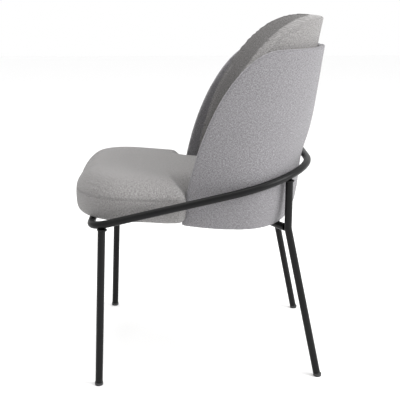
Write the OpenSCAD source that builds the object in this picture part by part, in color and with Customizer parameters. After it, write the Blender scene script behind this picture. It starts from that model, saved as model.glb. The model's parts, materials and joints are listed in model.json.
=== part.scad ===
// Upholstered dining chair: a padded seat, a tall curved back and a lower wrap-round
// back shell, carried by a welded frame of bent steel tube.
// X is the width, the sitter faces -Y, and Z = 0 is the floor. Lengths are in millimetres.

/* [Frame] */
// Outside diameter of the frame tube
tube_d = 18; // [17:0.5:18.5]
// Wall thickness of the frame tube
tube_wall = 1.5; // [1:0.1:2]
// Width of the hoop rail, centre to centre of its sides
hoop_w = 495; // [494:1:500]
// Height of the hoop rail's centreline above the floor at Y = 0
hoop_h = 456; // [454:1:457]
// Rise of the hoop rail towards the back, in degrees
hoop_rise = 12.95; // [12.8:0.05:13.2]
// Width between the front feet
front_feet_w = 496; // [480:1:510]
// Width between the rear feet
rear_feet_w = 430; // [400:1:460]
// Distance from Y = 0 forward to the front feet
front_feet_y = 249; // [235:1:260]
// Distance from Y = 0 back to the rear feet
rear_feet_y = 287; // [270:1:300]
// Height of the bend in the rear legs, where the cross bar joins them
leg_bend_h = 375.5; // [374:0.5:376.5]

/* [Seat] */
// Widest part of the seat cushion
seat_w = 456; // [450:1:460]
// Distance from Y = 0 forward to the front of the seat
seat_front = 309; // [305:1:312]
// Thickness of the cushion above its board plane at Y = 0
seat_t = 89; // [84:1:92]
// Radius of the cushion's front corners, seen from above
seat_corner_r = 134; // [120:1:134]

/* [Back] */
// Height of the tall back above the floor
back_h = 865; // [855:1:875]
// Height of the wrap shell's rim above the floor
rim_h = 790; // [782:1:796]
// Thickness of the wrap shell
wrap_t = 17; // [16:0.5:18]

/* [Hidden] */
LEFT = 1;
RIGHT = -1;
$fn = 48;

// Frame: the hoop rail lies in one plane tilted about X. Its outline is a rectangle with
// two tight front corners and two wide rear shoulders.
tube_r = tube_d / 2;
bore_r = tube_r - tube_wall;
hoop_half = hoop_w / 2;
hoop_front_v = -265;
front_bend_r = 45;
corner_x = hoop_half - front_bend_r;
corner_v = hoop_front_v + front_bend_r;
side_end_v = 72;
shoulder_bend_r = 203;
shoulder_x = hoop_half - shoulder_bend_r;
rear_bar_v = side_end_v + shoulder_bend_r;
front_leg_turn = 21;
rear_leg_turn = 43.7;
weld_gap = 0.2;
leg_top_drop = tube_r / cos(hoop_rise) + tube_r * tan(hoop_rise);
glide_d = 20;
glide_h = 7;
stem_l = 16;
cross_bar_r = 304;
cross_bar_stop = 10;
knee_swell = 0.4;
rod_turn = 40;

// Seat: a board on the frame, foam over it and a cover round both. The board plane falls
// towards the back from its height over the hoop's front bar.
board_plane_h = 397;
board_fall = 2.18;
top_fall = 4.75;
board_t = 12;
board_lift = 2;
cover_t = 1.2;
fit_gap = 0.4;
shoulder_y = -47;
shoulder_r = 32;
notch_half = 170;
tongue_half = 152;
tongue_rear = 152;
tongue_wide_y = 85;
edge_top_r = 30;
edge_low_r = 13;
lip_inset = 26;
bolt_x = 90;
bolt_ys = [-160, 70];
bar_w = 30;
bar_t = 6;
bar_front = -258;
bar_l = 416;
bar_drop = 1.4;
bolt_r = 3;
bolt_hole_r = 3.3;
washer_r = 7;
washer_t = 1.2;
head_r = 5.5;
head_h = 3.3;
nut_flange_r = 10;
nut_flange_t = 1.4;
nut_barrel_r = 4;
nut_barrel_l = 9;
nut_bore_r = 3.1;
dowel_r = 4;
dowel_fit = 0.15;
dowel_xs = [-100, -45, 45, 100];
dowel_z = board_plane_h;
dowel_front_y = 150;
board_neck_y = 56;
board_neck_half = 120;
seat_lift_y = 95;

// Back shells: plan curves at each height. widest_y is where both shells are widest.
widest_y = 90;
wrap_low = 385;
back_low = 409;
board_low = 386;
wrap_edge_y = -43;
wrap_rim_y = 188;
back_edge_low = 485;
back_edge_y = -1;
back_top_y = 264;
band_drop = 4;
rear_seam_y = 22;
rear_seam_top_y = 296;
board_margin = 7;
edge_lean = 0.2;
edge_pull = 36;
shell_power = 2.08;
ply_t = 8;
skin_t = 4.2;
back_skin_t = 4;
shell_gap = 2;
layer_gap = 1;
foam_margin = 6;
foam_fit = 1;
column_half = 205;
columns = 13;
wrap_half = [[375, 228.5], [410, 230], [440, 231.5], [480, 233], [520, 233], [600, 225], [700, 209], [790, 201], [865, 198]];
wrap_rear = [[375, 220], [410, 241], [440, 248], [480, 252.5], [520, 256.5], [600, 279], [700, 296], [790, 309], [865, 323]];
face_half = [[385, 180], [480, 178.5], [600, 173], [700, 166], [790, 161], [865, 158]];
face_rear = [[385, 158], [480, 158], [520, 168], [600, 191], [700, 221], [740, 232], [820, 256], [865, 268]];
level_heights = [410, 440, 480, 520, 600, 660, 700, 740, 765, 780, 790, 820, 840, 855];

// Point on the floor plan of the hoop rail's plane, at distance v along its slope
function hoop_y(v) = v * cos(hoop_rise);
function hoop_z(v) = hoop_h + v * sin(hoop_rise);
function front_leg_top(side) =
    let (v = hoop_front_v + front_bend_r - front_bend_r * sin(front_leg_turn))
    [side * (corner_x + front_bend_r * cos(front_leg_turn)), hoop_y(v), hoop_z(v)];
function rear_leg_top(side) =
    let (v = side_end_v + shoulder_bend_r * sin(rear_leg_turn))
    [side * (shoulder_x + shoulder_bend_r * cos(rear_leg_turn)), hoop_y(v), hoop_z(v)];

// ---------- frame ----------

// Solid rod of radius r with its axis from a to b, turned about its own axis
module rod(a, b, r, turn = 0) {
    d = b - a;
    translate(a)
        rotate([0, acos(d.z / norm(d)), atan2(d.y, d.x)])
            rotate([0, 0, turn])
                cylinder(h = norm(d), r = r);
}

// Bend of a rod of radius r about the origin, turning through angle from +X towards +Y
module bend(bend_r, angle, r) {
    rotate_extrude(angle = angle)
        translate([bend_r, 0])
            circle(r = r);
}

module tube(a, b) {
    difference() {
        rod(a, b, tube_r);
        rod(a, b, bore_r);
    }
}

module tube_bend(bend_r, angle) {
    rotate_extrude(angle = angle)
        translate([bend_r, 0])
            difference() {
                circle(r = tube_r);
                circle(r = bore_r);
            }
}

// Places children in the hoop rail's own plane
module in_hoop_plane() {
    translate([0, 0, hoop_h])
        rotate([hoop_rise, 0, 0])
            children();
}

// Places a child bend at one of the hoop rail's front corners
module at_front_corner(side) {
    in_hoop_plane()
        translate([side * corner_x, corner_v, 0])
            rotate([0, 0, side == LEFT ? -90 : 180])
                children();
}

// Places a child bend at one of the hoop rail's rear shoulders
module at_shoulder(side) {
    in_hoop_plane()
        translate([side * shoulder_x, side_end_v, 0])
            rotate([0, 0, side == LEFT ? 0 : 90])
                children();
}

// One bent tube whose two ends meet at a butt weld in the middle of the front bar
module hoop_rail() {
    color("#1b1c1e") {
        in_hoop_plane() {
            tube([-shoulder_x, rear_bar_v, 0], [shoulder_x, rear_bar_v, 0]);
            for (side = [LEFT, RIGHT]) {
                tube([side * weld_gap / 2, hoop_front_v, 0], [side * corner_x, hoop_front_v, 0]);
                tube([side * hoop_half, corner_v, 0], [side * hoop_half, side_end_v, 0]);
            }
        }
        for (side = [LEFT, RIGHT]) {
            at_front_corner(side)
                tube_bend(front_bend_r, 90);
            at_shoulder(side)
                tube_bend(shoulder_bend_r, 90);
        }
    }
}

function front_foot(side) = [side * front_feet_w / 2, -front_feet_y, 0];
function rear_foot(side) = [side * rear_feet_w / 2, rear_feet_y, 0];
function leg_knee(side) = let (top = rear_leg_top(side)) [top.x, top.y, leg_bend_h];
function direction(from, to) = (to - from) / norm(to - from);

// Where a leg's square-cut end stands on the glide, for a leg of that direction
function leg_end(foot, dir) = foot + dir * (glide_h + tube_r * sqrt(1 - dir.z * dir.z)) / dir.z;

// Straight leg that ends square against the underside of the hoop rail
module front_leg(side) {
    foot = front_foot(side);
    top = front_leg_top(side);
    dir = direction(foot, top);
    color("#1b1c1e")
        tube(leg_end(foot, dir), top - dir * leg_top_drop);
}

// Rear leg as a rod of radius r: upright from the hoop to the knee, a slightly swollen knee,
// then splayed to the foot
module rear_leg_rod(side, r, end_spare) {
    knee = leg_knee(side);
    dir = direction(rear_foot(side), knee);
    union() {
        rod(knee, [knee.x, knee.y, rear_leg_top(side).z - leg_top_drop + end_spare], r, rod_turn);
        translate(knee)
            sphere(r = r + knee_swell);
    }
    rod(leg_end(rear_foot(side), dir) - dir * end_spare, knee, r, rod_turn);
}

module rear_leg(side) {
    color("#1b1c1e")
        difference() {
            rear_leg_rod(side, tube_r, 0);
            rear_leg_rod(side, bore_r, 1);
        }
}

// Bowed bar between the knees of the rear legs, its ends cut square where they meet the tubes
module rear_cross_bar() {
    knee = leg_knee(LEFT);
    reach = asin(knee.x / cross_bar_r);
    half_turn = reach - asin(cross_bar_stop / cross_bar_r);
    color("#1b1c1e")
        translate([0, knee.y + cross_bar_r * cos(reach), leg_bend_h])
            rotate([0, 0, -90 - half_turn])
                tube_bend(cross_bar_r, 2 * half_turn);
}

// Places children on the tilted board plane, with their own Z = 0 on it
module on_board_plane() {
    translate([0, 0, board_plane_h])
        rotate([-board_fall, 0, 0])
            children();
}

module at_bolts(x) {
    for (y = bolt_ys)
        translate([x, y, 0])
            children();
}

// Flat bar from the hoop's front bar to the bowed bar, welded to both and drilled for bolts
module seat_bar(side) {
    color("#1b1c1e")
        difference() {
            on_board_plane()
                difference() {
                    translate([side * bolt_x - bar_w / 2, bar_front, -bar_drop - bar_t])
                        cube([bar_w, bar_l, bar_t]);
                    at_bolts(side * bolt_x)
                        translate([0, 0, -bar_drop - bar_t - 1])
                            cylinder(h = bar_t + 2, r = bolt_hole_r);
                }
            in_hoop_plane()
                rod([-corner_x, hoop_front_v, 0], [corner_x, hoop_front_v, 0], tube_r);
            translate([0, leg_knee(LEFT).y + cross_bar_r * cos(asin(leg_knee(LEFT).x / cross_bar_r)), leg_bend_h])
                rotate([0, 0, -130])
                    bend(cross_bar_r, 80, tube_r);
        }
}

// Plastic glide: a rounded foot with a stem up the leg's bore, along the direction of the leg
module glide(foot, leg_dir) {
    color("#2b2c2e") {
        translate([foot.x, foot.y, 0])
            rotate_extrude()
                difference() {
                    square([glide_d / 2, glide_h]);
                    translate([glide_d / 2 - 2, 0])
                        difference() {
                            square([2.1, 2]);
                            translate([0, 2])
                                circle(r = 2);
                        }
                }
        rod(foot + leg_dir * glide_h / 2, foot + leg_dir * (glide_h + stem_l), bore_r - 0.2, rod_turn);
    }
}

module front_glide(side) {
    glide(front_foot(side), direction(front_foot(side), front_leg_top(side)));
}

module rear_glide(side) {
    glide(rear_foot(side), direction(rear_foot(side), leg_knee(side)));
}

// ---------- seat ----------

function arc_points(centre, r, from, to, steps) =
    [for (i = [0:steps]) let (a = from + (to - from) * i / steps) centre + r * [cos(a), sin(a)]];

// Right-hand half of the cushion's outline, from the front centre round to the rear centre
function seat_half_outline() =
    let (half = seat_w / 2, flat = half - seat_corner_r)
    concat(
        [[0, -seat_front]],
        arc_points([flat, seat_corner_r - seat_front], seat_corner_r, -90, 0, 8),
        arc_points([half - shoulder_r, shoulder_y - shoulder_r], shoulder_r, 0, 90, 4),
        arc_points([notch_half + 6, shoulder_y + 12], 12, -90, -180, 3),
        [[tongue_half, 30], [tongue_half, 60]],
        [for (a = [0:18:90]) [tongue_half * cos(a), tongue_wide_y + (tongue_rear - tongue_wide_y) * sin(a)]]
    );

function seat_outline() =
    let (half = seat_half_outline(), last = len(half) - 1)
    concat(half, [for (i = [last - 1:-1:1]) [-half[i].x, half[i].y]]);

function along(points, i) =
    let (n = len(points), d = points[(i + 1) % n] - points[(i + n - 1) % n])
    d / norm(d);

// The outline moved inwards by a distance, square to its own direction
function inset_outline(points, inset) =
    [for (i = [0:len(points) - 1]) let (t = along(points, i)) points[i] + inset * [-t.y, t.x]];

// Closed solid from rings of equal count, each ring a list of 3D points. Thin rings double
// back on themselves, so their end caps are strips between the two halves.
module skin_rings(rings, thin = false) {
    count = len(rings[0]);
    last = len(rings) - 1;
    points = [for (ring = rings) for (p = ring) p];
    sides = [for (j = [0:last - 1]) for (i = [0:count - 1])
        let (a = j * count + i, b = j * count + (i + 1) % count, back_half = thin && i >= count / 2)
        for (face = back_half
            ? [[a, b + count, b], [a, a + count, b + count]]
            : [[a, a + count, b], [b, a + count, b + count]]) face];
    bottom = thin ? strip_cap(count) : [[for (i = [0:count - 1]) i]];
    top = [for (face = bottom) [for (i = reversed(face)) last * count + i]];
    polyhedron(points = points, faces = concat(bottom, sides, top), convexity = 6);
}

function reversed(list) = [for (i = [len(list) - 1:-1:0]) list[i]];
function strip_cap(count) =
    [for (i = [0:count / 2 - 2])
        for (face = [[i, i + 1, count - 1 - i], [i + 1, count - 2 - i, count - 1 - i]]) face];

// Height of the cushion's top above the board plane, at a place in board coordinates
function seat_top(p) = seat_t + board_lift - p.y * tan(top_fall - board_fall);

// Rings of the cushion's outline, shrunk by a margin: a rounded lower edge, going up
function low_rings(margin, low, edge) =
    [for (a = [90:-30:0]) outline_ring(margin + edge * (1 - cos(a)), low + edge * (1 - sin(a)))];
function outline_ring(inset, z) =
    let (lifted = board_lift + board_t + fit_gap / 2 + z * (cover_t / edge_low_r))
    [for (p = inset_outline(seat_outline(), inset)) [p.x, p.y, p.y + inset > seat_lift_y ? max(z, lifted) : z]];

// Rings of the rounded upper edge, going up to the flat of the cushion's sloping top
function top_rings(margin, edge) =
    [for (a = [0:22.5:90]) [for (p = inset_outline(seat_outline(), margin + edge * (1 - cos(a))))
        [p.x, p.y, seat_top(p) - margin - edge * (1 - sin(a))]]];

// Board with a neck at the rear that reaches back to the tall back's board
module seat_board() {
    color("#b98f5e")
        difference() {
            on_board_plane()
                difference() {
                    translate([0, 0, board_lift])
                        linear_extrude(height = board_t)
                            union() {
                                intersection() {
                                    polygon(inset_outline(seat_outline(), 22));
                                    translate([-400, board_neck_y - 800])
                                        square(800);
                                }
                                intersection() {
                                    polygon(shell_plan(back_board_face, 0));
                                    translate([-board_neck_half, 40])
                                        square([2 * board_neck_half, 300]);
                                }
                            }
                    for (side = [LEFT, RIGHT])
                        at_bolts(side * bolt_x)
                            cylinder(h = 2 * board_t + board_lift, r = nut_barrel_r + 0.2);
                }
            dowel_holes();
        }
}

module seat_tee_nuts() {
    color("#c9ccd0")
        on_board_plane()
            for (side = [LEFT, RIGHT])
                at_bolts(side * bolt_x)
                    difference() {
                        union() {
                            translate([0, 0, board_lift + board_t])
                                cylinder(h = nut_flange_t, r = nut_flange_r);
                            translate([0, 0, board_lift + board_t - nut_barrel_l])
                                cylinder(h = nut_barrel_l, r = nut_barrel_r);
                        }
                        cylinder(h = 40, r = nut_bore_r);
                    }
}

module seat_washers() {
    color("#c9ccd0")
        on_board_plane()
            for (side = [LEFT, RIGHT])
                at_bolts(side * bolt_x)
                    translate([0, 0, -bar_drop - bar_t - washer_t])
                        difference() {
                            cylinder(h = washer_t, r = washer_r);
                            translate([0, 0, -1])
                                cylinder(h = washer_t + 2, r = bolt_hole_r);
                        }
}

module seat_bolts() {
    under_washer = -bar_drop - bar_t - washer_t;
    color("#3a3b3d")
        on_board_plane()
            for (side = [LEFT, RIGHT])
                at_bolts(side * bolt_x)
                    translate([0, 0, under_washer]) {
                        cylinder(h = board_lift + board_t - under_washer, r = bolt_r);
                        translate([0, 0, -head_h])
                            difference() {
                                cylinder(h = head_h, r1 = head_r - 1.2, r2 = head_r);
                                translate([0, 0, -0.1])
                                    cylinder(h = 2, r = 2, $fn = 6);
                            }
                    }
}

module seat_dust_cover() {
    color("#26272a")
        on_board_plane()
            translate([0, 0, -1])
                linear_extrude(height = 0.6)
                    difference() {
                        polygon(inset_outline(seat_outline(), lip_inset - 10));
                        for (side = [LEFT, RIGHT])
                            at_bolts(side * bolt_x)
                                circle(r = bolt_hole_r + 1);
                    }
}

module seat_foam() {
    margin = cover_t + fit_gap;
    color("#e8dfc4")
        on_board_plane()
            skin_rings(concat(
                low_rings(margin, board_lift + board_t + nut_flange_t + fit_gap, 3),
                top_rings(margin, edge_top_r - margin)
            ));
}

// Fabric pulled over the foam and the board's edge, open under the middle of the board
module seat_cover() {
    inside = concat(
        low_rings(cover_t, cover_t, edge_low_r - cover_t),
        top_rings(cover_t, edge_top_r - cover_t)
    );
    color("#8f8c8b")
        on_board_plane()
            skin_rings(concat(
                reversed(inside),
                [outline_ring(lip_inset, cover_t), outline_ring(lip_inset, 0)],
                low_rings(0, 0, edge_low_r),
                top_rings(0, edge_top_r)
            ));
}

// ---------- back shells ----------

back_inset = wrap_t + shell_gap;
back_board_face = wrap_surface(board_low, back_inset + back_skin_t + ply_t + fit_gap);

// A plan surface is [half width, rear Y, roundness]: a superellipse behind widest_y
function wrap_surface(z, depth) =
    [lookup(z, wrap_half) - depth, lookup(z, wrap_rear) - depth, shell_power];
function face_surface(z, depth) =
    [lookup(z, face_half) + depth, lookup(z, face_rear) + depth, 2];

// Y of a shell's front edge at height z, leaning back and then rolling over into its top
function edge_y(z, low, top, y_low, y_top) =
    let (s = min(1, max(0, (z - low) / (top - low))))
    y_low + (y_top - y_low) * (edge_lean * s + (1 - edge_lean) * (1 - sqrt(1 - s * s)));

// Point at fraction s of the way from the rear centre to the front edge, on one side
function plan_point(surface, front_y, s) =
    let (
        half = surface[0],
        depth = surface[1] - widest_y,
        power = 2 / surface[2],
        reach = max(0, front_y - widest_y) / depth,
        rear_end = acos(pow(reach, 1 / power)),
        side_l = max(0, widest_y - front_y),
        rear_l = column_half * rear_end / 70,
        go = s * (rear_l + side_l),
        a = rear_end * min(1, go / rear_l),
        y = widest_y - max(0, go - rear_l),
        pull = edge_pull * pow((widest_y - y) / (widest_y - wrap_edge_y), 2)
    )
    go <= rear_l
        ? [half * pow(sin(a), power), widest_y + depth * pow(cos(a), power)]
        : [half - pull, y];

// Closed plan outline of a surface at one height, for cutting flat boards to it
function shell_plan(surface, front_y) =
    [for (i = [-columns:columns])
        let (p = plan_point(surface, front_y, abs(i) / columns)) [sign(i) * -p.x, p.y]];

function shell_row(surface, z, front_y) =
    [for (p = shell_plan(surface, front_y)) [p.x, p.y, z]];

// Closed sheet between an outer and an inner set of rows, listed from the bottom up
module sheet(outer, inner) {
    skin_rings([for (j = [0:len(outer) - 1]) concat(outer[j], reversed(inner[j]))], thin = true);
}

// Heights of a layer's rows: the shared heights, and the layer's own ends
function levels_between(low, top) =
    concat([low], [for (z = level_heights) if (z > low + 2 && z < top - 2) z], [top]);

// One layer of the wrap shell between two depths from its outer surface
module wrap_layer(from, to, low, margin) {
    levels = levels_between(low, rim_h - margin);
    fronts = [for (z = levels)
        edge_y(z, wrap_low, rim_h - margin, wrap_edge_y + margin, wrap_rim_y + margin)];
    sheet(
        [for (j = [0:len(levels) - 1]) shell_row(wrap_surface(levels[j], from), levels[j], fronts[j])],
        [for (j = [0:len(levels) - 1]) shell_row(wrap_surface(levels[j], to), levels[j], fronts[j])]
    );
}

// The tall back's edge band slopes: its front seam and, behind and outside it, its rear seam
function face_front(z, margin) =
    edge_y(z, back_edge_low, back_h - margin, back_edge_y + margin, back_top_y - margin);
function rear_front(z, margin, depth) =
    edge_y(z, back_edge_low, back_h - band_drop - margin,
        rear_seam_y + margin - depth, rear_seam_top_y - depth);

// One layer of the tall back between two depths from its rear surface
module back_layer(from, to, low, margin) {
    levels = levels_between(low, back_h - margin);
    sheet(
        [for (z = levels) shell_row(wrap_surface(z, back_inset + from), z, rear_front(z, margin, from))],
        [for (z = levels) shell_row(wrap_surface(z, back_inset + to), z, rear_front(z, margin, to))]
    );
}

// Padding of the tall back, from a depth behind its rear surface to its sculpted front face
module back_padding(from, face_depth, low, margin) {
    levels = levels_between(low, back_h - margin);
    sheet(
        [for (z = levels) shell_row(wrap_surface(z, back_inset + from), z, rear_front(z, margin, from))],
        [for (z = levels) shell_row(face_surface(z, face_depth), z, face_front(z, margin))]
    );
}

// Y of a plan surface at a place across its rear
function rear_y(surface, x) =
    widest_y + (surface[1] - widest_y) * pow(1 - pow(abs(x) / surface[0], surface[2]), 1 / surface[2]);

// Dowel-shaped rods of radius r, from inside the wrap board forward into the seat board
module dowels(r, spare) {
    for (x = dowel_xs) {
        rear_end = rear_y(wrap_surface(dowel_z, skin_t + ply_t / 2), x) + spare;
        translate([x, rear_end, dowel_z])
            rotate([90, 0, 0])
                cylinder(h = rear_end - dowel_front_y + spare, r = r);
    }
}

module dowel_holes() {
    dowels(dowel_r + dowel_fit, 0.3);
}

module back_board() {
    color("#b98f5e")
        difference() {
            back_layer(back_skin_t, back_skin_t + ply_t, board_low, board_margin);
            dowel_holes();
        }
}

module back_rear_foam() {
    color("#e8dfc4")
        back_layer(cover_t + foam_fit, back_skin_t - layer_gap, back_low + 3, foam_margin);
}

module back_front_foam() {
    color("#e8dfc4")
        back_padding(back_skin_t + ply_t + layer_gap, cover_t + layer_gap, back_low + 3, foam_margin);
}

module back_cover() {
    color("#8f8c8b")
        difference() {
            back_padding(0, 0, back_low, 0);
            back_padding(cover_t, cover_t, back_low - 5, 2);
        }
}

module wrap_board() {
    color("#b98f5e")
        difference() {
            wrap_layer(skin_t, skin_t + ply_t, board_low, 3);
            dowel_holes();
        }
}

module wrap_outer_foam() {
    color("#e8dfc4")
        wrap_layer(cover_t + foam_fit, skin_t - layer_gap, wrap_low + 2, foam_margin);
}

module wrap_inner_foam() {
    color("#e8dfc4")
        wrap_layer(skin_t + ply_t + layer_gap, wrap_t - cover_t - foam_fit, back_low + 3, foam_margin);
}

module wrap_cover() {
    color("#9b999b")
        difference() {
            wrap_layer(0, wrap_t, wrap_low, 0);
            wrap_layer(cover_t, wrap_t - cover_t, wrap_low - 5, 2);
            dowel_holes();
        }
}

// Beech dowels, glued through the back's board and into the wrap board and the seat board
module shell_dowels() {
    color("#c79f6b")
        dowels(dowel_r, 0);
}

hoop_rail();
front_leg(LEFT);  // front_leg_left
front_leg(RIGHT);  // front_leg_right
rear_leg(LEFT);  // rear_leg_left
rear_leg(RIGHT);  // rear_leg_right
rear_cross_bar();
seat_bar(LEFT);  // seat_bar_left
seat_bar(RIGHT);  // seat_bar_right
front_glide(LEFT);  // front_glide_left
front_glide(RIGHT);  // front_glide_right
rear_glide(LEFT);  // rear_glide_left
rear_glide(RIGHT);  // rear_glide_right
seat_board();
seat_tee_nuts();
seat_bolts();
seat_washers();
seat_dust_cover();
seat_foam();
seat_cover();
back_board();
back_front_foam();
back_rear_foam();
back_cover();
wrap_board();
wrap_inner_foam();
wrap_outer_foam();
wrap_cover();
shell_dowels();
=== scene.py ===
"""Upholstered dining chair: the soft pieces, seams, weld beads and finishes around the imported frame."""

import json
import math

import bpy
import numpy as np
from mathutils import Matrix, Vector
from mathutils.bvhtree import BVHTree
from mathutils.kdtree import KDTree


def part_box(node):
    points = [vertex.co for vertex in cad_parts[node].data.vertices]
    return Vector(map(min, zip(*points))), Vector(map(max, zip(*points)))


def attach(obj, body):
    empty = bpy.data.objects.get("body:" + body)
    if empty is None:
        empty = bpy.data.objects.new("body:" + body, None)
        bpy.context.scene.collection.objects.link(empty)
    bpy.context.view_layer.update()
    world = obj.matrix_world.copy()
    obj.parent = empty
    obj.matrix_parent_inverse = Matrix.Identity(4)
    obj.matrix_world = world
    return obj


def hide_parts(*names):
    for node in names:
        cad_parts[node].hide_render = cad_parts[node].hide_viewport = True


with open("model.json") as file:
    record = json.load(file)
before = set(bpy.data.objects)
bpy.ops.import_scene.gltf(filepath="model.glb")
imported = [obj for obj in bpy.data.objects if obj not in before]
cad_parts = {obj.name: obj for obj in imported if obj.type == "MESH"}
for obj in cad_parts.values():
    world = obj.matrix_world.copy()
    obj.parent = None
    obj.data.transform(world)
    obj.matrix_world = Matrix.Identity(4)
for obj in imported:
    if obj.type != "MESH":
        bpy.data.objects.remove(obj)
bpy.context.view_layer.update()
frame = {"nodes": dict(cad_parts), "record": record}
NODES = frame["nodes"]
MM = 0.001

# Camera, in metres and degrees
EYE = Vector((1.9839, -0.0463, 0.9331))
YAW = math.radians(1.3868)
PITCH = math.radians(15.1948)
LENS = 71.1

# Seat, in millimetres. The board plane falls towards the back.
BOARD_PLANE_H = 397
BOARD_FALL = math.radians(2.18)
SEAT_HALF = 228
SEAT_FRONT = 309
CORNER_R = 134
SEAM_H = 52

# Shells, in millimetres: tables of (height, size), and edges as (low, top, y at low, y at top).
# The wrap's cloth stands a little proud of its board all round.
WIDEST_Y = 90
WRAP_LOW = 382
WRAP_T = 17
WRAP_HALF = (
    (375, 228.5), (410, 230), (440, 231.5), (480, 233), (520, 233),
    (600, 225), (700, 209), (790, 201), (865, 198),
)
WRAP_REAR = (
    (375, 220), (410, 241), (440, 248), (480, 252.5), (520, 256.5),
    (600, 279), (700, 296), (790, 309), (865, 323),
)
FACE_HALF = ((385, 180), (480, 178.5), (600, 173), (700, 166), (790, 161), (865, 158))
FACE_REAR = (
    (385, 158), (480, 158), (520, 168), (600, 191),
    (700, 221), (740, 232), (820, 256), (865, 268),
)
SHELL_POWER = 2.08
EDGE_LEAN = 0.2
EDGE_PULL = 36
EDGE_PULL_L = 133
SHELL_COLUMNS = 60
STRAIGHT_LEVELS = 8
ROLLED_LEVELS = 44
BACK_LOW = 408
BACK_INSET = 18.5
WRAP_EDGE = (382, 792.5, -47, 184)
BACK_FACE_EDGE = (485, 865, -1, 264)
BACK_REAR_EDGE = (485, 861, 22, 296)


# ---------- small tools ----------


def table(rows, z):
    """Smooth curve through a table of (height, size), by cubic pieces with averaged slopes."""
    zs = np.array([r[0] for r in rows], float)
    vs = np.array([r[1] for r in rows], float)
    slopes = np.gradient(vs, zs)
    z = np.clip(z, zs[0], zs[-1])
    i = np.clip(np.searchsorted(zs, z) - 1, 0, len(zs) - 2)
    h = zs[i + 1] - zs[i]
    t = (z - zs[i]) / h
    a, b = vs[i], vs[i + 1]
    return (
        a * (1 + 2 * t) * (1 - t) ** 2
        + b * t * t * (3 - 2 * t)
        + h * slopes[i] * t * (1 - t) ** 2
        - h * slopes[i + 1] * t * t * (1 - t)
    )


def new_object(name, mesh):
    piece = bpy.data.objects.new(name, mesh)
    bpy.context.scene.collection.objects.link(piece)
    return piece


def grid_faces(rows, columns, start=0, flip=False, closed=False):
    """Quads of a grid of points stored row by row."""
    faces = []
    for j in range(rows - 1):
        for i in range(columns if closed else columns - 1):
            a = start + j * columns + i
            b = start + j * columns + (i + 1) % columns
            quad = (a, b, b + columns, a + columns)
            faces.append(quad[::-1] if flip else quad)
    return faces


def mesh_from(name, points, faces):
    mesh = bpy.data.meshes.new(name)
    mesh.from_pydata([tuple(p) for p in np.asarray(points, float) * MM], [], faces)
    mesh.update()
    return mesh


def positions(piece):
    co = np.zeros(len(piece.data.vertices) * 3)
    piece.data.vertices.foreach_get("co", co)
    return co.reshape(-1, 3)


def set_positions(piece, co):
    piece.data.vertices.foreach_set("co", co.reshape(-1))
    piece.data.update()


def apply_modifiers(piece):
    bpy.context.view_layer.update()
    graph = bpy.context.evaluated_depsgraph_get()
    mesh = bpy.data.meshes.new_from_object(piece.evaluated_get(graph))
    old = piece.data
    piece.modifiers.clear()
    piece.data = mesh
    mesh.name = old.name
    bpy.data.meshes.remove(old)


def remesh(piece, voxel):
    modifier = piece.modifiers.new("remesh", "REMESH")
    modifier.mode = "VOXEL"
    modifier.voxel_size = voxel
    modifier.use_smooth_shade = True
    apply_modifiers(piece)


def relax(piece, factor, repeats):
    modifier = piece.modifiers.new("relax", "SMOOTH")
    modifier.factor = factor
    modifier.iterations = repeats
    apply_modifiers(piece)


def subdivide(piece):
    modifier = piece.modifiers.new("subdivide", "SUBSURF")
    modifier.levels = 1
    modifier.render_levels = 1
    apply_modifiers(piece)


def shade_smooth(piece):
    piece.data.polygons.foreach_set("use_smooth", [True] * len(piece.data.polygons))
    piece.data.update()


def puff(piece, cap, pressure=4.0, stiffness=8.0):
    """Cloth swelling with pressure and no gravity, each point moved by at most cap metres."""
    before = positions(piece)
    cloth = piece.modifiers.new("cloth", "CLOTH")
    cloth.settings.quality = 4
    cloth.settings.mass = 0.3
    cloth.settings.tension_stiffness = stiffness
    cloth.settings.compression_stiffness = stiffness
    cloth.settings.shear_stiffness = stiffness / 2
    cloth.settings.bending_stiffness = 0.5
    cloth.settings.use_pressure = True
    cloth.settings.uniform_pressure_force = pressure
    cloth.settings.effector_weights.gravity = 0
    cloth.collision_settings.use_collision = False
    cloth.point_cache.frame_start = 1
    cloth.point_cache.frame_end = 20
    scene = bpy.context.scene
    for step in range(1, 21):
        scene.frame_set(step)
    apply_modifiers(piece)
    scene.frame_set(1)
    move = positions(piece) - before
    length = np.linalg.norm(move, axis=1, keepdims=True)
    move *= np.minimum(1, cap / np.maximum(length, 1e-9))
    set_positions(piece, before + move)


def tree_of(piece):
    return BVHTree.FromPolygons(
        [v.co for v in piece.data.vertices], [p.vertices for p in piece.data.polygons]
    )


def snap(points, piece, proud):
    """Points moved onto a piece's surface, proud of it by a distance. All in metres."""
    tree = tree_of(piece)
    out = []
    for p in points:
        spot, normal, _, _ = tree.find_nearest(Vector(p))
        out.append(spot + normal * proud)
    return out


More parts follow.
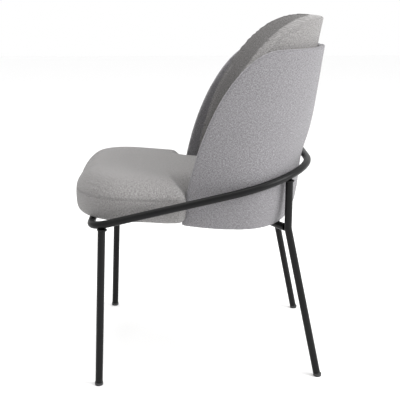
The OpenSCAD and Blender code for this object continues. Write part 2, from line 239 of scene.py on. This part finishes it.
def tube_along(name, points, radius, closed=False, sides=8):
    """Mesh tube along points in metres."""
    count = len(points)
    points = [Vector(p) for p in points]
    verts, side = [], None
    for i, p in enumerate(points):
        ahead = points[(i + 1) % count] if closed or i < count - 1 else p
        behind = points[i - 1] if closed or i > 0 else p
        along = (ahead - behind).normalized()
        side = (
            along.orthogonal().normalized()
            if side is None
            else (side - along * side.dot(along)).normalized()
        )
        other = along.cross(side)
        for k in range(sides):
            a = 2 * math.pi * k / sides
            verts.append(p + radius * (math.cos(a) * side + math.sin(a) * other))
    faces = []
    for i in range(count if closed else count - 1):
        for k in range(sides):
            a, b = i * sides + k, i * sides + (k + 1) % sides
            c, d = ((i + 1) % count) * sides + k, ((i + 1) % count) * sides + (k + 1) % sides
            faces.append((a, b, d, c))
    if not closed:
        faces.append(tuple(range(sides))[::-1])
        faces.append(tuple((count - 1) * sides + k for k in range(sides)))
    mesh = bpy.data.meshes.new(name)
    mesh.from_pydata([tuple(v) for v in verts], [], faces)
    mesh.update()
    piece = new_object(name, mesh)
    shade_smooth(piece)
    return piece


def groove(piece, line, depth, width):
    """Presses a sewn seam into a surface along a line of points, in metres."""
    tree = KDTree(len(line))
    for i, p in enumerate(line):
        tree.insert(Vector(p), i)
    tree.balance()
    co = positions(piece)
    normals = np.array([v.normal for v in piece.data.vertices], float)
    reach = 3 * width
    for i, p in enumerate(co):
        distance = tree.find(Vector(p))[2]
        if distance < reach:
            co[i] = p - normals[i] * depth * math.exp(-((distance / width) ** 2))
    set_positions(piece, co)


def dense(line, step=0.001):
    """A polyline with points close together."""
    out = []
    for a, b in zip(line, line[1:]):
        a, b = Vector(a), Vector(b)
        n = max(1, int((b - a).length / step))
        out += [a.lerp(b, k / n) for k in range(n)]
    return out + [Vector(line[-1])]


# ---------- shell shapes ----------


def edge_y(z, edge):
    low, top, y_low, y_top = edge
    s = np.clip((z - low) / (top - low), 0, 1)
    return y_low + (y_top - y_low) * (EDGE_LEAN * s + (1 - EDGE_LEAN) * (1 - np.sqrt(1 - s * s)))


def plan_point(half, rear, power, front_y, s):
    """Point at fraction s of the way from the rear centre to the front edge, on one side."""
    depth = rear - WIDEST_Y
    reach = max(0.0, front_y - WIDEST_Y) / depth
    rear_end = math.acos(min(1.0, reach) ** (power / 2))
    side_l = max(0.0, WIDEST_Y - front_y)
    rear_l = half * rear_end * 180 / math.pi / 70
    go = s * (rear_l + side_l)
    if go <= rear_l:
        a = rear_end * go / max(rear_l, 1e-9)
        return half * math.sin(a) ** (2 / power), WIDEST_Y + depth * max(0.0, math.cos(a)) ** (2 / power)
    y = WIDEST_Y - (go - rear_l)
    return half - EDGE_PULL * ((WIDEST_Y - y) / EDGE_PULL_L) ** 2, y


def surface_row(half_table, rear_table, depth, power, z, front_y):
    """Points at one height, from one front edge round the rear to the other."""
    half = float(table(half_table, z)) + depth
    rear = float(table(rear_table, z)) + depth
    row = []
    for i in range(-SHELL_COLUMNS, SHELL_COLUMNS + 1):
        x, y = plan_point(half, rear, power, front_y, abs(i) / SHELL_COLUMNS)
        row.append((math.copysign(x, -i), y, z))
    return row


def edge_levels(low, top, knee):
    """Heights from low to top, close together towards the top, where the edge rolls over."""
    straight = np.linspace(low, knee, STRAIGHT_LEVELS, endpoint=False)
    rolled = knee + (top - knee) * np.sin(np.linspace(0, math.pi / 2, ROLLED_LEVELS))
    return list(straight) + list(rolled)


def shell_form(name, outer_rows, inner_rows):
    """Closed solid between two stacks of rows of equal size."""
    rows, columns = len(outer_rows), len(outer_rows[0])
    points = [p for row in outer_rows for p in row] + [p for row in inner_rows for p in row]
    shift = rows * columns
    faces = grid_faces(rows, columns) + grid_faces(rows, columns, shift, flip=True)
    for i in range(columns - 1):
        faces.append((i + 1, i, shift + i, shift + i + 1))
        a = (rows - 1) * columns + i
        faces.append((a, a + 1, shift + a + 1, shift + a))
    for j in range(rows - 1):
        a, b = j * columns, (j + 1) * columns
        faces.append((a, b, shift + b, shift + a))
        a, b = a + columns - 1, b + columns - 1
        faces.append((b, a, shift + a, shift + b))
    return new_object(name, mesh_from(name, points, faces))


def edge_line(rows):
    """The front edge of a stack of rows: up one side, over the top and down the other."""
    return [Vector(r[0]) * MM for r in rows] + [
        Vector(p) * MM for p in rows[-1][1:-1]
    ] + [Vector(r[-1]) * MM for r in reversed(rows)]


def shell_rows(tables, depth, power, edge, low, knee):
    return [
        surface_row(*tables, -depth, power, z, float(edge_y(z, edge)))
        for z in edge_levels(low, edge[1], knee)
    ]


def make_wrap_shell():
    tables = (WRAP_HALF, WRAP_REAR)
    outer = shell_rows(tables, 0.5, SHELL_POWER, WRAP_EDGE, WRAP_LOW, WRAP_LOW + 40)
    inner = shell_rows(tables, WRAP_T, SHELL_POWER, WRAP_EDGE, WRAP_LOW, WRAP_LOW + 40)
    piece = shell_form("wrap_shell", outer, inner)
    remesh(piece, 0.004)
    relax(piece, 0.5, 3)
    clear_of_hoop(piece)
    subdivide(piece)
    line = snap(dense(edge_line(outer), 0.004), piece, 0.0)
    return piece, line


def make_tall_back():
    knee = BACK_FACE_EDGE[0]
    rear = shell_rows((WRAP_HALF, WRAP_REAR), BACK_INSET, SHELL_POWER, BACK_REAR_EDGE, BACK_LOW, knee)
    face = shell_rows((FACE_HALF, FACE_REAR), 0, 2, BACK_FACE_EDGE, BACK_LOW, knee)
    piece = shell_form("tall_back", rear, face)
    remesh(piece, 0.004)
    relax(piece, 0.5, 4)
    subdivide(piece)
    front_line = snap(dense(edge_line(face[STRAIGHT_LEVELS:]), 0.004), piece, 0.0)
    rear_line = snap(dense(edge_line(rear[STRAIGHT_LEVELS:]), 0.004), piece, 0.0)
    return piece, front_line, rear_line


# ---------- seat ----------


def arc(cx, cy, r, start, end, steps):
    angles = np.radians(np.linspace(start, end, steps + 1))
    return [(cx + r * math.cos(a), cy + r * math.sin(a)) for a in angles]


def seat_outline():
    """The cushion's outline seen from above, anticlockwise, evenly spaced points."""
    flat = SEAT_HALF - CORNER_R
    half = [(0, -SEAT_FRONT - 1.5), (flat / 2, -SEAT_FRONT - 1)]
    half += arc(flat, CORNER_R - SEAT_FRONT, CORNER_R, -90, 0, 16)
    half += arc(SEAT_HALF - 26, -36 - 26, 26, 0, 90, 8)
    half += [(180, -35)] + arc(172, -21, 14, -90, -180, 4) + [(155, 30)]
    half += [(152 * math.cos(a), 85 + 67 * math.sin(a)) for a in np.linspace(0, math.pi / 2, 12)]
    whole = half + [(-x, y) for x, y in half[-2:0:-1]]
    loop = np.array(whole + whole[:1])
    lengths = np.r_[0, np.cumsum(np.linalg.norm(np.diff(loop, axis=0), axis=1))]
    spots = np.linspace(0, lengths[-1], 301)[:-1]
    return np.c_[np.interp(spots, lengths, loop[:, 0]), np.interp(spots, lengths, loop[:, 1])]


def shrink(outline, inset):
    along = np.roll(outline, -1, 0) - np.roll(outline, 1, 0)
    along /= np.linalg.norm(along, axis=1, keepdims=True)
    return outline + inset * np.c_[-along[:, 1], along[:, 0]]


def to_part(points):
    """From the board plane's own coordinates to the part's, in millimetres."""
    p = np.asarray(points, float)
    c, s = math.cos(BOARD_FALL), math.sin(BOARD_FALL)
    return np.c_[p[:, 0], p[:, 1] * c + p[:, 2] * s, BOARD_PLANE_H - p[:, 1] * s + p[:, 2] * c]


def seat_crown(xy):
    """Height of the top over the board plane: falling to the back, crowned across."""
    across = (xy[:, 0] / SEAT_HALF) ** 2
    front = (np.clip(-xy[:, 1] - 60, 0, 250) / 250) ** 2
    return 92 - xy[:, 1] * 0.045 - 5 * across - 3.0 * front


def make_seat():
    outline = seat_outline()
    centre = np.array([0.0, -110.0])
    rings = []

    def ring(inset, height):
        xy = shrink(outline, inset)
        rings.append(np.c_[xy, np.full(len(xy), float(height))])

    for share in (0.35, 0.6, 0.8):
        xy = centre + (shrink(outline, 40) - centre) * share
        rings.append(np.c_[xy, np.full(len(xy), 1.0)])
    for inset, height in (
        (40, 0.5), (30, -1), (22, -6), (14, -9), (7, -7), (2.5, 0), (0.5, 12), (0, 28), (0.5, 42)
    ):
        ring(inset, height)
    ring(1, SEAM_H)
    for share in (0.14, 0.3, 0.45, 0.6, 0.75, 0.9):
        a = share * math.pi / 2
        xy = shrink(outline, 1 + 40 * (0.45 * (1 - math.cos(a)) + 0.55 * share))
        rise = 0.45 * math.sin(a) + 0.55 * share
        rings.append(np.c_[xy, SEAM_H + (seat_crown(xy) - 6 - SEAM_H) * rise])
    for share in (0.93, 0.8, 0.6, 0.4, 0.2, 0.05):
        xy = centre + (shrink(outline, 41) - centre) * share
        rings.append(np.c_[xy, seat_crown(xy) - 6 * share ** 4])
    count = len(outline)
    points = to_part(np.vstack(rings))
    faces = grid_faces(len(rings), count, closed=True)
    faces.append(tuple(range(count))[::-1])
    last = (len(rings) - 1) * count
    faces.append(tuple(last + i for i in range(count)))
    piece = new_object("seat_cushion", mesh_from("seat_cushion", points, faces))
    remesh(piece, 0.005)
    relax(piece, 0.5, 4)
    puff(piece, 0.006, pressure=4)
    clear_of_hoop(piece)
    subdivide(piece)
    seam = to_part(np.c_[shrink(outline, 0), np.full(count, float(SEAM_H))]) * MM
    return piece, snap(list(seam) + [seam[0]], piece, 0.0)


# ---------- clearance from the steel ----------


def clear_of_hoop(piece, gap=0.0006):
    """Moves points of a soft piece out of the frame's tubes, as fabric pressed against steel."""
    co = positions(piece)
    for name in ("hoop_rail", "rear_leg_left", "rear_leg_right", "seat_bar_left", "seat_bar_right"):
        tree = tree_of(NODES[name])
        low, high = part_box(name)
        near = np.all((co > np.array(low) - 0.004) & (co < np.array(high) + 0.004), axis=1)
        for i in np.nonzero(near)[0]:
            spot, normal, _, distance = tree.find_nearest(Vector(co[i]), 0.012)
            if spot is None:
                continue
            side = (Vector(co[i]) - spot).dot(normal)
            if side < gap:
                co[i] = spot + normal * gap
    set_positions(piece, co)


# ---------- materials ----------


class Nodes:
    """Short calls for building a material's node tree."""

    def __init__(self, name):
        self.material = bpy.data.materials.new(name)
        self.material.use_nodes = True
        self.tree = self.material.node_tree
        self.shader = self.tree.nodes["Principled BSDF"]

    def add(self, kind, **values):
        node = self.tree.nodes.new(kind)
        for key, value in values.items():
            setattr(node, key, value)
        return node

    def link(self, a, b):
        self.tree.links.new(a, b)

    def math(self, operation, a, b=None, c=None, clamp=False):
        node = self.add("ShaderNodeMath", operation=operation, use_clamp=clamp)
        for i, value in enumerate((a, b, c)):
            if value is None:
                continue
            if isinstance(value, (int, float)):
                node.inputs[i].default_value = value
            else:
                self.link(value, node.inputs[i])
        return node.outputs[0]

    def noise(self, vector, scale, detail=2.0, roughness=0.5):
        node = self.add("ShaderNodeTexNoise")
        node.inputs["Scale"].default_value = scale
        node.inputs["Detail"].default_value = detail
        node.inputs["Roughness"].default_value = roughness
        if vector is not None:
            self.link(vector, node.inputs["Vector"])
        return node.outputs["Fac"]

    def scaled(self, vector, scale):
        node = self.add("ShaderNodeVectorMath", operation="MULTIPLY")
        self.link(vector, node.inputs[0])
        node.inputs[1].default_value = scale
        return node.outputs[0]

    def ramp(self, factor, stops):
        node = self.add("ShaderNodeValToRGB")
        self.link(factor, node.inputs[0])
        elements = node.color_ramp.elements
        while len(elements) < len(stops):
            elements.new(0.5)
        for element, (place, colour) in zip(elements, stops):
            element.position = place
            element.color = (*colour, 1)
        return node.outputs[0]

    def mix(self, factor, a, b, blend="MIX"):
        node = self.add("ShaderNodeMix", data_type="RGBA", blend_type=blend)
        for socket, value in ((node.inputs[0], factor), (node.inputs[6], a), (node.inputs[7], b)):
            if isinstance(value, (int, float)):
                socket.default_value = value
            elif isinstance(value, tuple):
                socket.default_value = (*value, 1)
            else:
                self.link(value, socket)
        return node.outputs[2]

    def bump(self, height, strength, distance, normal=None):
        node = self.add("ShaderNodeBump")
        node.inputs["Strength"].default_value = strength
        node.inputs["Distance"].default_value = distance
        self.link(height, node.inputs["Height"])
        if normal is not None:
            self.link(normal, node.inputs["Normal"])
        return node.outputs["Normal"]


def fabric(name, dark, light):
    """Plain weave of melange yarn: crossing threads, each with its own light and dark flecks."""
    n = Nodes(name)
    place = n.add("ShaderNodeAttribute", attribute_name="weave").outputs["Vector"]
    parts = n.add("ShaderNodeSeparateXYZ")
    n.link(place, parts.inputs[0])
    pitch = 0.0016
    warp = n.math("SINE", n.math("MULTIPLY", parts.outputs[0], math.pi / pitch))
    weft = n.math("SINE", n.math("MULTIPLY", parts.outputs[1], math.pi / pitch))
    over = n.math("MULTIPLY", warp, weft)
    which = n.math("GREATER_THAN", over, 0.0)
    along_warp = n.noise(n.scaled(place, (760, 250, 300)), 1.0, 3.0, 0.65)
    along_weft = n.noise(n.scaled(place, (250, 760, 300)), 1.0, 3.0, 0.65)
    pick = n.add("ShaderNodeMix", data_type="FLOAT")
    n.link(which, pick.inputs[0])
    n.link(along_warp, pick.inputs[2])
    n.link(along_weft, pick.inputs[3])
    middle = tuple((a + b) / 2 for a, b in zip(dark, light))
    fleck = n.ramp(pick.outputs[0], ((0.36, dark), (0.50, middle), (0.64, light)))
    streak = n.noise(n.scaled(place, (420, 150, 60)), 1.0, 3.0, 0.6)
    broad = n.noise(n.scaled(place, (14, 14, 9)), 1.0, 2.0, 0.5)
    patch = n.math("ADD", n.math("MULTIPLY", streak, 0.7), n.math("MULTIPLY", broad, 0.3))
    shade = n.ramp(patch, ((0.3, (0.88, 0.88, 0.88)), (0.7, (1.0, 1.0, 1.0))))
    n.link(n.mix(1.0, fleck, shade, "MULTIPLY"), n.shader.inputs["Base Color"])
    height = n.math("ADD", n.math("ABSOLUTE", over), n.math("MULTIPLY", pick.outputs[0], 0.8))
    fuzz = n.noise(n.scaled(place, (900, 900, 900)), 1.0, 2.0, 0.6)
    normal = n.bump(n.math("ADD", height, n.math("MULTIPLY", fuzz, 0.5)), 0.55, 0.0006)
    n.link(normal, n.shader.inputs["Normal"])
    n.shader.inputs["Roughness"].default_value = 0.92
    n.shader.inputs["Sheen Weight"].default_value = 0.12
    n.shader.inputs["Sheen Roughness"].default_value = 0.5
    return n.material


def powder_coat():
    """Satin black powder coat with a fine orange peel and slight wear."""
    n = Nodes("satin_black")
    place = n.add("ShaderNodeTexCoord").outputs["Object"]
    peel = n.noise(place, 900, 2.0, 0.5)
    cloud = n.noise(place, 14, 3.0, 0.6)
    black = n.ramp(cloud, ((0.3, (0.0035, 0.0035, 0.0037)), (0.7, (0.006, 0.006, 0.0063))))
    n.link(black, n.shader.inputs["Base Color"])
    rough = n.add("ShaderNodeMapRange")
    n.link(cloud, rough.inputs[0])
    rough.inputs[3].default_value = 0.30
    rough.inputs[4].default_value = 0.42
    n.link(rough.outputs[0], n.shader.inputs["Roughness"])
    n.link(n.bump(peel, 0.12, 0.0002), n.shader.inputs["Normal"])
    n.shader.inputs["Specular IOR Level"].default_value = 0.16
    return n.material


def moulded_plastic():
    n = Nodes("glide_plastic")
    place = n.add("ShaderNodeTexCoord").outputs["Object"]
    scuff = n.noise(place, 320, 3.0, 0.6)
    grey = n.ramp(scuff, ((0.3, (0.018, 0.018, 0.019)), (0.75, (0.045, 0.045, 0.046))))
    n.link(grey, n.shader.inputs["Base Color"])
    n.link(n.bump(scuff, 0.2, 0.0002), n.shader.inputs["Normal"])
    n.shader.inputs["Roughness"].default_value = 0.6
    return n.material


def wood(name, pale, dark):
    n = Nodes(name)
    place = n.scaled(n.add("ShaderNodeTexCoord").outputs["Object"], (30, 260, 30))
    grain = n.noise(place, 1.0, 4.0, 0.65)
    n.link(n.ramp(grain, ((0.3, dark), (0.7, pale))), n.shader.inputs["Base Color"])
    n.link(n.bump(grain, 0.2, 0.0003), n.shader.inputs["Normal"])
    n.shader.inputs["Roughness"].default_value = 0.7
    return n.material


def steel(name, low, high, metallic, roughness):
    n = Nodes(name)
    place = n.add("ShaderNodeTexCoord").outputs["Object"]
    cloud = n.noise(place, 220, 3.0, 0.6)
    n.link(n.ramp(cloud, ((0.3, low), (0.7, high))), n.shader.inputs["Base Color"])
    n.shader.inputs["Metallic"].default_value = metallic
    n.shader.inputs["Roughness"].default_value = roughness
    return n.material


def non_woven():
    n = Nodes("dust_cloth")
    place = n.add("ShaderNodeTexCoord").outputs["Object"]
    fibre = n.noise(n.scaled(place, (500, 900, 500)), 1.0, 3.0, 0.7)
    black = n.ramp(fibre, ((0.3, (0.010, 0.010, 0.011)), (0.7, (0.030, 0.030, 0.032))))
    n.link(black, n.shader.inputs["Base Color"])
    n.link(n.bump(fibre, 0.4, 0.0003), n.shader.inputs["Normal"])
    n.shader.inputs["Roughness"].default_value = 0.95
    return n.material


def floor_paint():
    n = Nodes("pale_floor")
    n.shader.inputs["Base Color"].default_value = (0.97, 0.97, 0.97, 1)
    n.shader.inputs["Roughness"].default_value = 0.8
    n.shader.inputs["Specular IOR Level"].default_value = 0.1
    return n.material


def set_weave(piece, mode):
    """Stores where each point lies in the flat cloth: round the chair and up, or across a panel."""
    co = positions(piece)
    normals = np.array([v.normal for v in piece.data.vertices], float)
    if mode == "shell":
        angle = np.arctan2(co[:, 0], co[:, 1] - 0.06)
        u = angle * 0.205
        v = co[:, 2] + 0.25 * np.clip(co[:, 1] - 0.1, 0, 1) * (normals[:, 2] > 0.7)
    else:
        side = normals[:, 2] < 0.45
        u = np.where(side, np.arctan2(co[:, 0], co[:, 1] + 0.11) * 0.21, co[:, 0])
        v = np.where(side, co[:, 2], co[:, 1])
    attribute = piece.data.attributes.new("weave", "FLOAT_VECTOR", "POINT")
    data = np.c_[u, v, np.zeros(len(u))].astype(np.float32)
    attribute.data.foreach_set("vector", data.reshape(-1))


def paint(piece, material):
    piece.data.materials.clear()
    piece.data.materials.append(material)


# ---------- hard trim ----------


def weld_bead(name, centre, axis, radius, thickness=0.0022, lumps=26):
    """A fillet of weld round a tube's end, with the ripples of a hand weld."""
    axis = Vector(axis).normalized()
    side = axis.orthogonal().normalized()
    other = axis.cross(side)
    points = []
    for k in range(96):
        a = 2 * math.pi * k / 96
        r = radius + 0.00025 * math.sin(lumps * a)
        points.append(Vector(centre) + r * (math.cos(a) * side + math.sin(a) * other))
    return tube_along(name, points, thickness, closed=True, sides=10)


def finish_piece(piece, material, slot_name, *replaced, fill=None):
    paint(piece, material)
    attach(piece, "root")
    if replaced:
        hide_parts(*replaced)


# ---------- building ----------

warm = fabric("grey_weave_warm", (0.084, 0.081, 0.080), (0.372, 0.361, 0.356))
cool = fabric("grey_weave_cool", (0.084, 0.081, 0.086), (0.352, 0.343, 0.358))
coat = powder_coat()

wrap, wrap_edge_line = make_wrap_shell()
groove(wrap, dense([Vector(p) for p in wrap_edge_line], 0.0015), 0.0008, 0.0016)
set_weave(wrap, "shell")
finish_piece(
    wrap, cool, "fabric_cool", "wrap_cover", "wrap_inner_foam", "wrap_outer_foam", fill=0.7
)

back, back_front_line, back_rear_line = make_tall_back()
groove(back, dense([Vector(p) for p in back_rear_line], 0.0015), 0.0016, 0.0022)
set_weave(back, "shell")
finish_piece(back, warm, "fabric_warm", "back_cover", "back_front_foam", "back_rear_foam", fill=0.8)

seat, seat_seam = make_seat()
groove(seat, dense([Vector(p) for p in seat_seam], 0.0015), 0.0014, 0.0022)
set_weave(seat, "seat")
finish_piece(seat, warm, "fabric_warm", "seat_cover", "seat_foam", fill=0.8)

for name, line, owner, material, slot_name, radius in (
    ("wrap_edge_welt", wrap_edge_line, wrap, cool, "fabric_cool", 0.0011),
    ("back_edge_welt", back_front_line, back, warm, "fabric_warm", 0.0011),
    ("back_rear_seam", back_rear_line, back, warm, "fabric_warm", 0.0006),
    ("seat_side_seam", seat_seam, seat, warm, "fabric_warm", 0.0007),
):
    points = snap(dense([Vector(p) for p in line], 0.004), owner, radius * 0.3)
    piece = tube_along(name, points, radius)
    set_weave(piece, "shell" if owner is not seat else "seat")
    finish_piece(piece, material, slot_name)

bare_nodes = {
    "frame_tube": coat,
    "glide": moulded_plastic(),
    "plywood": wood("birch_ply", (0.60, 0.43, 0.26), (0.42, 0.28, 0.15)),
    "hardwood": wood("beech", (0.55, 0.38, 0.24), (0.40, 0.26, 0.15)),
    "zinc_hardware": steel("zinc_plate", (0.50, 0.51, 0.53), (0.68, 0.69, 0.71), 1.0, 0.35),
    "black_hardware": steel("black_oxide", (0.02, 0.02, 0.022), (0.05, 0.05, 0.055), 0.6, 0.45),
    "dust_cover": non_woven(),
}
for sub in frame["record"]["subparts"]:
    if sub["material_slot"] in bare_nodes:
        paint(NODES[sub["node"]], bare_nodes[sub["material_slot"]])

for side, word in ((1, "left"), (-1, "right")):
    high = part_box(f"front_leg_{word}")[1]
    foot = Vector((side * 0.248, -0.249, 0))
    top = Vector((side * 0.2446, -0.2296, high.z))
    bead = weld_bead(f"front_weld_{word}", top - Vector((0, 0, 0.0012)), top - foot, 0.0094)
    finish_piece(bead, coat, "frame_tube")
    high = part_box(f"rear_leg_{word}")[1]
    knee_x, knee_y = side * 0.1913, 0.2069
    bead = weld_bead(f"rear_weld_{word}", (knee_x, knee_y, high.z - 0.0008), (0, 0, 1), 0.0094)
    finish_piece(bead, coat, "frame_tube")

FLOOR = 9000
corners = [(-FLOOR, -FLOOR, 0), (FLOOR, -FLOOR, 0), (FLOOR, FLOOR, 0), (-FLOOR, FLOOR, 0)]
floor = new_object("floor", mesh_from("floor", corners, [(0, 1, 2, 3)]))
paint(floor, floor_paint())


# ---------- camera and light ----------


def look(eye, yaw, pitch):
    ahead = Vector((-math.cos(yaw) * math.cos(pitch), math.sin(yaw) * math.cos(pitch), -math.sin(pitch)))
    right = Vector((math.sin(yaw), math.cos(yaw), 0))
    up = right.cross(ahead)
    turn = Matrix((right, up, -ahead)).transposed().to_4x4()
    turn.translation = eye
    return turn


camera = bpy.data.objects.new("camera", bpy.data.cameras.new("camera"))
bpy.context.scene.collection.objects.link(camera)
camera.matrix_world = look(EYE, YAW, PITCH)
camera.data.lens = LENS
camera.data.sensor_width = 36
bpy.context.scene.camera = camera


def area_light(name, place, target, size, power):
    data = bpy.data.lights.new(name, "AREA")
    data.shape = "RECTANGLE"
    data.size, data.size_y = size
    data.energy = power
    lamp = bpy.data.objects.new(name, data)
    bpy.context.scene.collection.objects.link(lamp)
    lamp.location = place
    lamp.rotation_euler = (Vector(target) - Vector(place)).to_track_quat("-Z", "Y").to_euler()
    return lamp


area_light("key_rear", (1.1, 2.6, 1.9), (0, 0.1, 0.6), (1.6, 1.6), 75)
area_light("top", (0.0, 0.1, 3.0), (0, 0, 0.4), (2.0, 2.0), 40)

world = bpy.data.worlds.new("studio")
bpy.context.scene.world = world
world.use_nodes = True
world.node_tree.nodes["Background"].inputs[0].default_value = (1, 1, 1, 1)
world.node_tree.nodes["Background"].inputs[1].default_value = 1.0
bpy.context.scene.view_settings.view_transform = "Standard"
